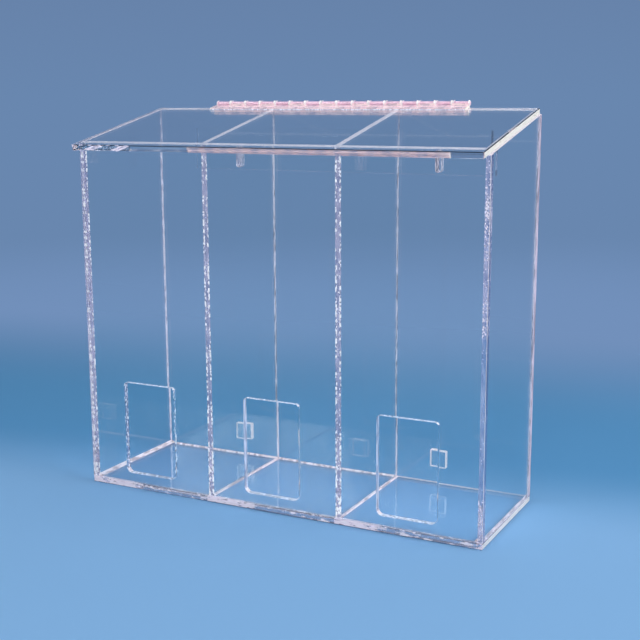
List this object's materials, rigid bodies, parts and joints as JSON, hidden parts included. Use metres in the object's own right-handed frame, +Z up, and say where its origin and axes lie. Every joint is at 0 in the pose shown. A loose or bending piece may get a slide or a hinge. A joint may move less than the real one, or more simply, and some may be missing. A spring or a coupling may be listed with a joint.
{
  "type": "disposable glove dispenser",
  "caption": "Clear acrylic case for loose gloves: tall bays side by side, a rounded draw window low in front of each, and a sloping lid on a moulded piano hinge.",
  "frame": {"origin": "centre of the base panel's underside", "axes": "+X along the front to the viewer's right, +Y from the front to the hinge side, +Z up"},
  "size_m": [0.4572, 0.1746, 0.4188],
  "materials": {
    "clear_sheet": "clear cast acrylic sheet with sawn and sanded edges",
    "clear_moulding": "clear moulded acrylic, glossy"
  },
  "bodies": {
    "case": {"base_panel": "clear_sheet", "front_panel": "clear_sheet", "back_panel": "clear_sheet", "left_side_panel": "clear_sheet", "right_side_panel": "clear_sheet", "left_divider": "clear_sheet", "right_divider": "clear_sheet", "hinge_back_leaf": "clear_moulding", "hinge_pin": "clear_moulding", "hanging_strip": "clear_sheet", "left_wall_spacer": "clear_sheet", "right_wall_spacer": "clear_sheet"},
    "lid": {"lid_panel": "clear_sheet", "hinge_lid_leaf": "clear_moulding"}
  },
  "joints": [
    {"name": "lid_hinge", "type": "hinge", "parent": "case", "child": "lid", "pos_m": [0, 0.07967, 0.41562], "axis": [-1, 0, 0], "range_deg": [0, 270]}
  ]
}
